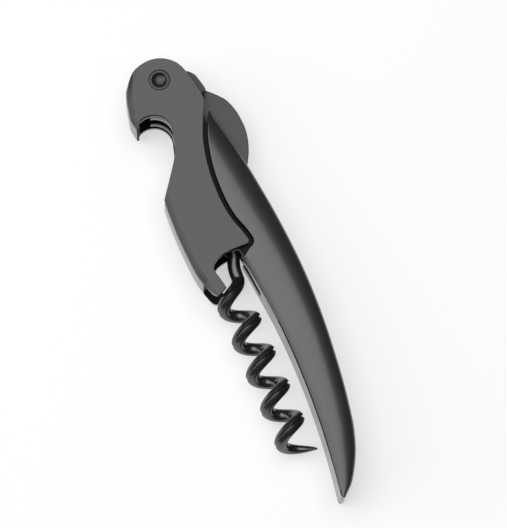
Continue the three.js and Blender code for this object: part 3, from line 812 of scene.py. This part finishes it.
def handle_along(share):
    """A place along the handle: the part beside the lever and the tail each keep their own scale."""
    if share < FOOT_SHARE:
        return share / FOOT_SHARE * LEVER_REACH
    return LEVER_REACH + (share - FOOT_SHARE) / (1 - FOOT_SHARE) * TAIL_LENGTH


def handle_line(shares):
    return spline([(handle_along(along), rise * HANDLE_RISE) for along, rise in shares])


spine = handle_line([
    [0.085, 0.541], [0.11, 0.592], [0.142, 0.655], [0.207, 0.757], [0.268, 0.833], [0.359, 0.921],
    [0.451, 0.979], [0.525, 1], [0.595, 0.993], [0.663, 0.964], [0.765, 0.89], [0.846, 0.797],
    [0.879, 0.739], [0.909, 0.667], [0.935, 0.58], [0.961, 0.472], [0.981, 0.367], [1, 0.209],
])
inner_edge = handle_line([
    [0.1, -0.246], [0.3, -0.049], [0.438, 0.153], [0.511, 0.222], [0.584, 0.279], [0.665, 0.31],
    [0.756, 0.31], [0.845, 0.279], [0.926, 0.222], [1, 0.15],
])
print("handle reaches", HANDLE_REACH, "mm, spine at", spine[:, 1].max().round(2), "mm")

# %% Liners
LINER = 2.2
SLOT_WIDTH = 4.1
EAR_RADIUS = 5.0
KNIFE_BOSS = 5.05
WORM_BOSS = 3.7
EAR_SET_BACK = 0.15
LINER_EASED = 0.2
LINER_INSET = 0.5
LINER_SPINE_INSET = 2.7
LINER_TOP_START = 0.14
LINER_END = 0.52
NECK_START = 0.28 * LEVER_REACH
NECK_END = 0.37 * LEVER_REACH
POCKET_GAP = 0.25
PIN_GAP = 0.2
slot_bottom, slot_top = MIDDLE - SLOT_WIDTH / 2, MIDDLE + SLOT_WIDTH / 2
liner_top = lever_line([
    [0.046, 0.503], [0.076, 0.524], [0.1, 0.537], [0.109, 0.526], [0.111, 0.489], [0.117, 0.453],
    [0.141, 0.416], [0.186, 0.384], [0.239, 0.384],
])


def liner_tail(grow):
    """The liner's end inside the handle: its lower line, its corner and its upper line back."""
    top = beside(spine, grow - LINER_SPINE_INSET)
    end = handle_along(LINER_END) + grow
    top = top[(top[:, 0] > handle_along(LINER_TOP_START)) & (top[:, 0] < end)]
    edge = inner_edge[(inner_edge[:, 0] > WORM_PIN[0] + WORM_BOSS) & (inner_edge[:, 0] < end)]
    bottom = beside(edge, LINER_INSET - grow)
    return bottom, (end, bottom[-1][1] + LINER_SPINE_INSET), top[::-1]


def liner_outline():
    bottom, corner, top = liner_tail(0)
    neck = beside(waist, -LINER_INSET)
    neck = neck[(neck[:, 0] > NECK_START) & (neck[:, 0] < NECK_END)]
    return np.concatenate([
        arc(KNIFE_PIN, KNIFE_BOSS, 120, 165, 10), arc(RIVET_CENTRE, EAR_RADIUS, 125, 262, 40),
        arc(HOOK_CENTRE, HOOK_RADIUS + EAR_SET_BACK, 170, 76, 30), neck[::-1],
        arc(WORM_PIN, WORM_BOSS, 250, 330, 16), bottom, [corner], top, liner_top[::-1],
    ])


def drilled(piece, centre, radius):
    hole = [(radius, -1), (radius, THICKNESS + 1)]
    cut(piece, turned("drill", centre, hole, steps=40))


def build_liner(name, bottom):
    liner = slab(name, liner_outline(), bottom, bottom + LINER, LINER_EASED)
    for centre, radius in ((RIVET_CENTRE, RIVET_SHAFT), (KNIFE_PIN, KNIFE_PIN_RADIUS),
                           (WORM_PIN, WORM_PIN_RADIUS), (SPRING_PIN, SPRING_PIN_RADIUS)):
        drilled(liner, centre, radius + PIN_GAP)
    return liner


def liner_faces(middles, normals):
    """1 on the outer face, olive fading to painted shade; 2 on the face towards the other liner, in painted
    shade.
    """
    flat = np.abs(normals[:, 2]) > QUITE_FLAT
    facing = np.abs(middles[:, 2] - MIDDLE) < SLOT_WIDTH / 2 + LINER / 2
    return np.where(flat, np.where(facing, 2, 1), 0)


for name, bottom, node in (("front_liner", slot_top, "liner_front"),
                           ("rear_liner", slot_bottom - LINER, "liner_rear")):
    dress(build_liner(name, bottom), LINER_COAT, "liner_steel", "handle", node,
          shade_picker=liner_faces, others=(LINER_FACE_AND_SHADE, PAINTED_SHADE))

# %% [markdown]
# ## Handle shells
# The handle is a claw. Its two faces are crowned: level along the inner edge and falling ever faster
# towards the spine, which is what makes their long grey-to-black gradient. The inner edge has a straight
# wall and a clear bevel, and the spine is rounded. It is drawn as a row of cross sections from the head to
# the tail. Each section starts at the parting plane, climbs the wall, crosses the bevel and the crown, and
# rolls over the spine. Where the lever lies, the wall steps back to leave a dark groove round its edge.
# That wall and the pockets inside take painted shade, and a fine line along the foot of the bevel takes a
# painted dark reflection.

# %% Handle shells: the wall along the inner edge
RECESS_GAP = 1.2
RECESS_END = 0.439
TAIL_CORNER_RADIUS = 0.9

recess_end = handle_along(RECESS_END)
recess = beside(spine_side, RECESS_GAP)
recess = recess[recess[:, 0] > KNIFE_PIN[0] + KNIFE_BOSS]
recess = np.concatenate([
    recess,
    arc(foot_corner, FOOT_CORNER_RADIUS + RECESS_GAP, 75, 10, 14),
    [(recess_end, height_at(inner_edge, recess_end))],
])
print("the lever's recess ends at", round(recess_end, 2), "mm")


def wall_at(x):
    if x < recess_end:
        return height_at(recess, x)
    low = height_at(inner_edge, x)
    over = x - (HANDLE_REACH - TAIL_CORNER_RADIUS)
    if over > 0:
        low += TAIL_CORNER_RADIUS - math.sqrt(max(TAIL_CORNER_RADIUS**2 - over**2, 0))
    return low


# %% Handle shells: one cross section
CROWN_REACH = 7.0
CROWN_LEAST_REACH = 5.3
CROWN_REACH_POWER = 1.3
CROWN_TAIL_SHARE = 0.75
CROWN_FALL = 0.2
CROWN_POWER = 2.5
CROWN_EASE = 0.07
CROWN_STEPS = 14
CROWN_SPACING = 0.8
FULL_WIDTH = 12.9
LEAST_WIDTH = 0.05
GROOVE_EASED = 0.3
GROOVE_EASED_SHARE = 0.3
GROOVE_RIM = (0, 1.0), (0.12, 0.42), (0.42, 0.12), (1, 0)
INNER_BEVEL_WIDTH = 1.1
INNER_BEVEL_HEIGHT = 0.9
INNER_BEVEL_RIM = (0, 1.16), (0.24, 0.82), (0.92, 0.07), (1.12, 0)
BEVEL_FULL_WIDTH = 8.5
SPINE_ROUND = 1.6
SPINE_ROUND_START = math.radians(38)
ROUND_STEPS = 9
SUPPORT_SHARE = 0.15
SIDE_DROP = 0.1


def handle_section(x):
    """Places across the handle and heights above the parting plane, from the wall to the spine."""
    top, low = height_at(spine, x), height_at(inner_edge, x)
    wall = min(wall_at(x), top - LEAST_WIDTH)
    reach = max(CROWN_REACH * ((top - low) / FULL_WIDTH) ** CROWN_REACH_POWER, CROWN_LEAST_REACH)
    reach = min(reach, CROWN_TAIL_SHARE * (top - low))

    def fall(y):
        ease = CROWN_EASE * (top - low) * ((y - low) / (top - low)) ** 2
        return ease + CROWN_FALL * reach * max(1 - (top - y) / reach, 0) ** CROWN_POWER

    def height(y):
        return MIDDLE - fall(y) + fall(low)

    if x < recess_end:
        eased = min(GROOVE_EASED, GROOVE_EASED_SHARE * (top - wall))
        bevel = [(wall + a * eased, height(wall + a * eased) - b * eased) for a, b in GROOVE_RIM]
    else:
        size = min(1, (top - low) / BEVEL_FULL_WIDTH)
        bevel = [(wall + a * size * INNER_BEVEL_WIDTH, height(wall) - b * size * INNER_BEVEL_HEIGHT)
                 for a, b in INNER_BEVEL_RIM]
    start = bevel[-1][0]
    step = min(SUPPORT, SUPPORT_SHARE * (top - start))
    round_size = min(SPINE_ROUND, top - start - 2 * step)
    shoulder = top - round_size * (1 - math.sin(SPINE_ROUND_START))
    crown = start + step + (shoulder - start - step) * np.linspace(0, 1, CROWN_STEPS + 1) ** CROWN_SPACING
    angles = np.linspace(SPINE_ROUND_START, math.pi / 2, ROUND_STEPS + 1)[1:]
    side = [(shoulder + round_size * (math.sin(a) - math.sin(SPINE_ROUND_START)),
             height(shoulder) - round_size * (math.cos(SPINE_ROUND_START) - math.cos(a))) for a in angles]
    points = [(wall, 0), *bevel, *[(y, height(y)) for y in crown], *side]
    return np.array([*points, (top, side[-1][1] - SIDE_DROP), (top, 0)])


# %% Handle shells: the row of sections
FRONT_SHARE = 0.1
TAIL_EASED = 0.3
STATIONS = [
    # from, to and how many, closest together where the wall steps out at the lever's foot
    (handle_along(FRONT_SHARE), 16, 24), (16.6, 46, 44), (46.2, 51, 40), (51.8, 108, 64),
    (108.6, HANDLE_REACH - TAIL_EASED, 28),
]
stations = np.concatenate([np.linspace(*span) for span in STATIONS])
print(len(stations), "sections from", stations[0].round(2), "to", stations[-1].round(2), "mm")


def shell_rings(side):
    rings = []
    for x in stations:
        across, rise = handle_section(x).T
        rings.append(np.column_stack([np.full(len(across), x), across, MIDDLE + side * rise]))
    last = rings[-1]
    pivot = last.mean(axis=0) * (1, 1, 0) + (0, 0, MIDDLE)
    width = np.ptp(last[:, 1])
    for angle in np.radians([22.5, 45, 67.5, 90]):
        inset = TAIL_EASED * (1 - math.cos(angle))
        shrink = (1, 1 - 2 * inset / max(width, 1), 1 - inset / MIDDLE)
        rings.append((last - pivot) * shrink + pivot + (TAIL_EASED * math.sin(angle), 0, 0))
    return rings


# %% Handle shells: pockets and slots
KNIFE_REACH = 27.7
KNIFE_RISE = 11.3
KNIFE_TANG = 2.9
WORM_SLOT_LENGTH = 9.0
WORM_SLOT_DEPTH = 1.7


def liner_pocket():
    bottom, corner, top = liner_tail(POCKET_GAP)
    head = liner_top[-1]
    outline = np.concatenate([
        [(-FAR, -FAR), (bottom[0][0], -FAR)], bottom, [corner], top,
        [(head[0], head[1] + POCKET_GAP), (-FAR, head[1] + POCKET_GAP)],
    ])
    reach = SLOT_WIDTH / 2 + LINER + POCKET_GAP
    return slab("pocket_cutter", outline, MIDDLE - reach, MIDDLE + reach)


def knife_slot():
    radius = math.hypot(KNIFE_REACH, KNIFE_TANG) + POCKET_GAP
    return turned("slot_cutter", KNIFE_PIN, [(radius, slot_bottom), (radius, slot_top)], steps=128)


def worm_slot():
    start = recess_end
    end = start + WORM_SLOT_LENGTH
    base = height_at(inner_edge, start) + WORM_SLOT_DEPTH
    front = WORM_PIN[0]
    outline = [(front, -FAR), (end, -FAR), (end, height_at(inner_edge, end)), (start, base), (front, base)]
    return slab("worm_slot_cutter", outline, slot_bottom, slot_top)


def build_shell(name, side):
    shell = loft(name, shell_rings(side))
    for cutter in (liner_pocket(), knife_slot(), worm_slot()):
        cut(shell, cutter)
    return shell


# %% Handle shells: painted shade and a painted dark reflection
GROOVE_SHADE_FROM = 0.5
POCKET_SHADE_FROM = 2.3
POCKET_SHADE_END = 0.53
SPINE_MARGIN = 0.6
DARK_REFLECTION_START = 68.0
DARK_REFLECTION_WIDTH = 0.22


def shaded_recess_and_pockets(middles, normals):
    """The groove's wall below its rim and what the cutters left inside, in painted shade, and a painted dark
    reflection along the bevel's foot.
    """
    x, y, z = middles.T
    depth = MIDDLE - np.abs(z - MIDDLE)
    low, edge, top = (height_at(line, x) for line in (recess, inner_edge, spine))
    groove = (x < recess_end) & (y < low + CLOSE) & (depth > GROOVE_SHADE_FROM)
    between = (y > np.maximum(edge, low) + CLOSE) & (y < top - SPINE_MARGIN)
    pocket = between & (depth > POCKET_SHADE_FROM) & (x < handle_along(POCKET_SHADE_END))
    sloping = (np.abs(normals[:, 2]) > TURNED) & (normals[:, 1] < -TURNED)
    # A thin painted dark line where the bevel's foot would mirror dark surroundings.
    dark_reflection_line = (x > DARK_REFLECTION_START) & (y < edge + DARK_REFLECTION_WIDTH) & sloping
    return groove | pocket | dark_reflection_line


for name, side, node in (("front_shell", 1, "handle_shell_front"), ("rear_shell", -1, "handle_shell_rear")):
    dress(build_shell(name, side), HANDLE_COAT, "handle_shell", "handle", node, shade_picker=shaded_recess_and_pockets)

# %% [markdown]
# ## Foil knife
# A short thick blade with a round back. Folded, its back stands out behind the spine and serves as the
# thumb rest. The back's rim is only eased; the cutting edge is ground from both faces to a fine line.

# %% Foil knife
KNIFE = 1.5
KNIFE_EASED = 0.22
GRIND_WIDTH = 2.2
GRIND_DROP = 0.68
GRIND_FADE = 5


def knife_line(shares, steps):
    return spline(shared(shares, KNIFE_REACH, KNIFE_RISE), steps) + KNIFE_PIN


knife_back = knife_line([
    [0.035, 0.47], [0.085, 0.602], [0.146, 0.747], [0.192, 0.835], [0.25, 0.903], [0.33, 0.962],
    [0.42, 0.992], [0.509, 1], [0.617, 0.961], [0.72, 0.88], [0.794, 0.79], [0.859, 0.69], [0.94, 0.5],
    [1, 0.28],
], 90)
knife_edge = knife_line([[0.93, 0.11], [0.75, -0.05], [0.5, -0.14], [0.25, -0.18]], 36)
knife_tang = arc(KNIFE_PIN, KNIFE_TANG, 310, 100, 40)


def knife_rim(ground):
    """The eased size along the back and the tang, and the ground one along the cutting edge."""
    count = len(knife_edge)
    fade = np.clip(np.linspace(0, GRIND_FADE, count), 0, 1) * np.clip(np.linspace(GRIND_FADE, 0, count), 0, 1)
    back, tang = (np.full(len(line), KNIFE_EASED) for line in (knife_back, knife_tang))
    return np.concatenate([back, KNIFE_EASED + (ground - KNIFE_EASED) * fade, tang])


def build_knife():
    outline = np.concatenate([knife_back, knife_edge, knife_tang])
    bottom, top = MIDDLE - KNIFE / 2, MIDDLE + KNIFE / 2
    knife = slab("foil_knife", outline, bottom, top, knife_rim(GRIND_WIDTH), knife_rim(GRIND_DROP))
    drilled(knife, KNIFE_PIN, KNIFE_PIN_RADIUS + PIN_GAP)
    return knife


dress(build_knife(), KNIFE_COAT, "knife_steel", "knife", "knife")

# %% [markdown]
# ## Worm
# The worm is one wire with a groove along its outside. It leaves its eye straight, then winds about its
# own axis and thins to a point. The wire's section, a circle with a notch, is carried along the path, and
# turned so that the notch always faces outwards.

# %% Worm: path
WIRE = 3.3
WORM_PITCH = 9.05
WORM_STRAIGHT = 8.4
WORM_RUN_IN = 9.0
WORM_GATHER = 1.5
WORM_LIFT = 6.0
WORM_TURNS = 4.98
WORM_LEAN = math.tan(math.radians(0.87))
WORM_TIP = 5.0
WORM_TIP_WIDTH = 0.55
WORM_TO_PLATE = 0.45
WORM_TO_HANDLE = 2.4
WIRE_IN_EYE = 0.5

worm_radius = MIDDLE - PLATE - WORM_TO_PLATE
straight_end = WORM_PIN[0] + WORM_STRAIGHT
worm_start = WORM_PIN[0] + WORM_PIN_RADIUS + PIN_GAP + WIRE_IN_EYE
even_start = straight_end + WORM_RUN_IN * (1 - 1 / WORM_GATHER)
worm_end = even_start + WORM_TURNS * WORM_PITCH
first_turn = even_start + WORM_PITCH
axis_y = height_at(inner_edge, first_turn) - WORM_TO_HANDLE - worm_radius
print("worm from", worm_start.round(2), "to", worm_end.round(2), "mm, radius", round(worm_radius, 2), "mm")


def ease_in_out(share):
    share = min(max(share, 0), 1)
    return share * share * (3 - 2 * share)


def wire_at(x):
    """The wire's centre, its outward direction and its radius at a place along the tool."""
    run = max(x - straight_end, 0)
    gathered = min(run / WORM_RUN_IN, 1) ** WORM_GATHER / WORM_GATHER
    turn = 2 * math.pi / WORM_PITCH * (WORM_RUN_IN * gathered + max(run - WORM_RUN_IN, 0))
    taper = min(max((x - (worm_end - WORM_TIP)) / WORM_TIP, 0), 1)
    radius = WIRE / 2 + (WORM_TIP_WIDTH / 2 - WIRE / 2) * taper**2
    outward = np.array([0, math.cos(turn), math.sin(turn)])
    coil = worm_radius - radius
    leaning_y = axis_y + WORM_LEAN * (x - first_turn)
    if run > 0:
        lift = ease_in_out(run / WORM_LIFT)
        place = (x, leaning_y + coil * outward[1], MIDDLE + lift * coil * outward[2])
    else:
        shank = ease_in_out((x - WORM_PIN[0]) / WORM_STRAIGHT)
        place = (x, WORM_PIN[1] + (leaning_y + coil - WORM_PIN[1]) * shank, MIDDLE)
    return np.array(place), outward, radius


# %% Worm: wire, groove and eye
GROOVE_WIDTH = 1.0
GROOVE_DEPTH = 0.5
GROOVE_POWER = 0.7
WIRE_STEPS = 460
EYE_RADIUS = 3.4
EYE_THICKNESS = 3.1
EYE_RIM = (0.5, 0), (0.15, 0.15), (0, 0.5)


def wire_section():
    """A circle of radius 1 with a notch on its outer side, as places outwards and upwards."""
    notch_half = math.asin(GROOVE_WIDTH / WIRE)
    points = []
    for angle in np.linspace(-notch_half, notch_half, 9):
        sunk = GROOVE_DEPTH / (WIRE / 2) * math.cos(angle / notch_half * math.pi / 2) ** GROOVE_POWER
        points.append((1 - sunk) * np.array([math.cos(angle), math.sin(angle)]))
    for angle in np.linspace(notch_half, 2 * math.pi - notch_half, 26)[1:-1]:
        points.append(np.array([math.cos(angle), math.sin(angle)]))
    return np.array(points)


def wire_eye():
    low, high = MIDDLE - EYE_THICKNESS / 2, MIDDLE + EYE_THICKNESS / 2
    lower = [(EYE_RADIUS - inset, low + rise) for inset, rise in EYE_RIM]
    upper = [(EYE_RADIUS - inset, high - rise) for inset, rise in reversed(EYE_RIM)]
    return turned("eye", WORM_PIN, lower + upper)


def build_worm():
    section = wire_section()
    rings = []
    for x in np.linspace(worm_start, worm_end, WIRE_STEPS):
        place, outward, radius = wire_at(x)
        along = wire_at(x + 0.05)[0] - wire_at(x - 0.05)[0]
        along /= np.linalg.norm(along)
        up = np.cross(along, outward)
        up /= np.linalg.norm(up)
        across = np.cross(up, along)
        rings.append(place + radius * (section[:, :1] * across + section[:, 1:] * up))
    worm = loft("worm_wire", rings)
    cut(worm, wire_eye(), "UNION")
    drilled(worm, WORM_PIN, WORM_PIN_RADIUS + PIN_GAP)
    return worm


dress(build_worm(), WORM_COAT, "worm_wire", "worm", "worm", angle=38)

# %% [markdown]
# ## Turned hardware
# Washers, sleeve and pins hold the tool together. They are rings and plain pins with eased rims, turned
# at the sizes of their solids. Each ring's bore leaves the same small gap round its pin.

# %% Washers, sleeve and pins
RING_RIM = 0.08
PIN_RIM = 0.2


def ring_profile(outer, inner, low, high):
    rim = RING_RIM
    lower = [(inner, low + rim), (inner + rim, low), (outer - rim, low), (outer, low + rim)]
    upper = [(outer, high - rim), (outer - rim, high), (inner + rim, high), (inner, high - rim)]
    return [*lower, *upper, lower[0]]


def pin_profile(outer, low, high):
    inner = outer - PIN_RIM
    return [(inner, low), (outer, low + PIN_RIM), (outer, high - PIN_RIM), (inner, high)]


def turn_from_solid(node, bore=None):
    """A ring with that bore, or a plain pin, at the solid's own place, radius and height."""
    low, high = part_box(node)
    centre = ((low + high) / 2).xy - RIVET
    outer = (high.x - low.x) / 2 / MM
    heights = low.z / MM, high.z / MM
    profile = ring_profile(outer, bore, *heights) if bore else pin_profile(outer, *heights)
    piece = turned(f"turned_{node}", centre / MM, profile, steps=48)
    dress(piece, STEEL, "bare_steel", "handle", node)


RINGS_ON_PINS = {
    "lever_washer_front": RIVET_SHAFT, "lever_washer_rear": RIVET_SHAFT, "head_spacer": RIVET_SHAFT,
    "knife_washer_front": KNIFE_PIN_RADIUS, "knife_washer_rear": KNIFE_PIN_RADIUS,
    "worm_washer_front": WORM_PIN_RADIUS, "worm_washer_rear": WORM_PIN_RADIUS,
}
PINS = ("knife_pin", "worm_pin", "spring_pin", "handle_pin_1", "handle_pin_2", "handle_pin_3")
for node, pin_radius in RINGS_ON_PINS.items():
    turn_from_solid(node, pin_radius + PIN_GAP)
for node in PINS:
    turn_from_solid(node)

# %% [markdown]
# ## Pieces that keep their solids
# The leaf spring and the block between the liners are flat-sided, so their solids already have the right
# shape and only take the steel finish.

# %% Kept solids
for node in ("knife_spring", "handle_spacer"):
    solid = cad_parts[node]
    solid.data.materials.clear()
    solid.data.materials.append(STEEL)
    print(node, "keeps its solid")

# %% Clear the selection
bpy.ops.object.select_all(action="DESELECT")
